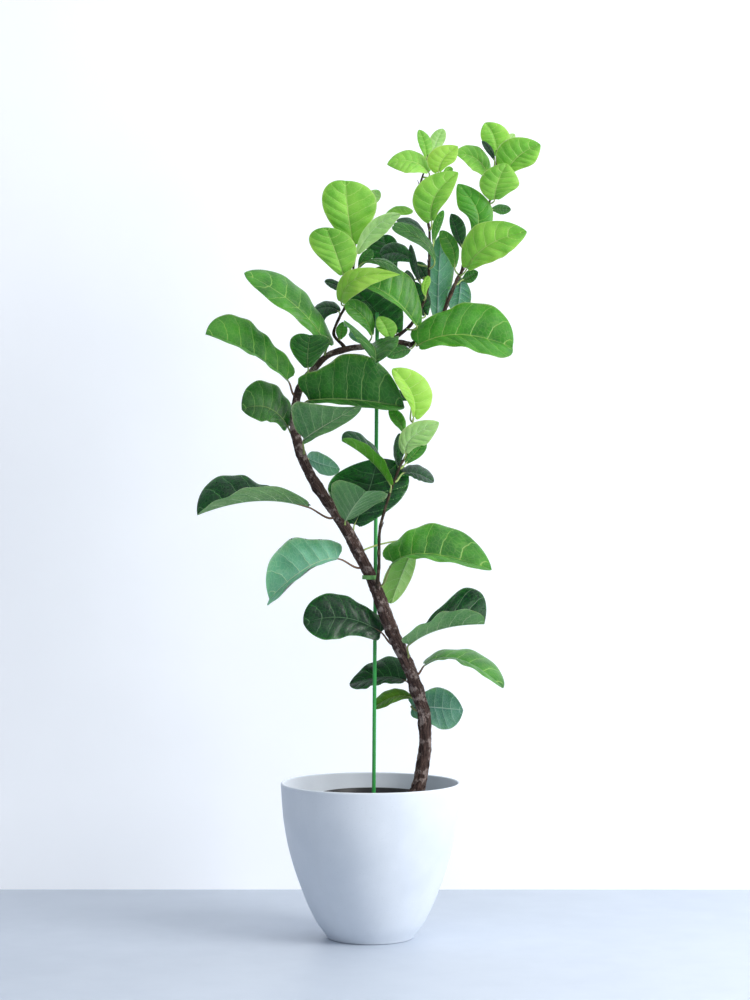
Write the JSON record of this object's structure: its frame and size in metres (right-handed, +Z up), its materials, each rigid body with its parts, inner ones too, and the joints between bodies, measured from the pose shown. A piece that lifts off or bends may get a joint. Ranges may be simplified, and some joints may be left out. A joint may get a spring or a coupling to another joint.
{
  "type": "potted fiddle leaf fig",
  "caption": "Tall leaning fiddle leaf fig with a woody trunk, arching top and leafy shoots, held by a stake, in a wide tapered planter that stands on the floor.",
  "frame": {"origin": "centre of the planter's flat underside, on the floor", "axes": "+Z is up the plant, -Y is the front seen in the source view, +X is to the right in that view"},
  "size_m": [0.767, 0.404, 1.8348],
  "materials": {
    "glaze": "matte off-white stoneware",
    "nursery_plastic": "matte black",
    "potting_soil": "coarse dark potting mix",
    "stake_coat": "green coated",
    "tie_plastic": "soft matte green",
    "bark": "rough fissured bark",
    "young_bark": "young bark with papery scales",
    "mature_blade": "glossy leathery leaf",
    "young_blade": "satin young leaf"
  },
  "bodies": {
    "root": {"pot": "glaze", "nursery_pot": "nursery_plastic", "soil": "potting_soil", "stake": "stake_coat", "stake_tie": "tie_plastic", "trunk": "bark", "side_shoot": "young_bark", "left_shoot": "young_bark", "middle_shoot": "young_bark", "right_shoot": "young_bark", "leaf_01": "mature_blade", "leaf_02": "young_blade", "leaf_03": "mature_blade", "leaf_04": "mature_blade", "leaf_05": "mature_blade", "leaf_06": "mature_blade", "leaf_07": "mature_blade", "leaf_08": "young_blade", "leaf_09": "mature_blade", "leaf_10": "young_blade", "leaf_11": "young_blade", "leaf_12": "mature_blade", "leaf_13": "young_blade", "leaf_14": "mature_blade", "leaf_15": "mature_blade", "leaf_16": "mature_blade", "leaf_17": "young_blade", "leaf_18": "mature_blade", "leaf_19": "mature_blade", "leaf_20": "young_blade", "leaf_21": "young_blade", "leaf_22": "young_blade", "leaf_23": "young_blade", "leaf_24": "young_blade", "leaf_25": "mature_blade", "leaf_26": "young_blade", "leaf_27": "mature_blade", "leaf_28": "young_blade", "leaf_29": "young_blade", "leaf_30": "young_blade", "leaf_31": "young_blade", "leaf_32": "young_blade", "leaf_33": "young_blade", "leaf_34": "young_blade", "leaf_35": "young_blade", "leaf_36": "young_blade", "leaf_37": "young_blade", "leaf_38": "young_blade", "leaf_39": "young_blade", "leaf_40": "young_blade", "leaf_41": "young_blade", "leaf_42": "young_blade", "leaf_43": "young_blade", "leaf_44": "young_blade", "leaf_45": "young_blade", "leaf_46": "young_blade", "leaf_47": "young_blade", "leaf_48": "young_blade", "leaf_49": "young_blade", "leaf_50": "young_blade"}
  },
  "joints": []
}
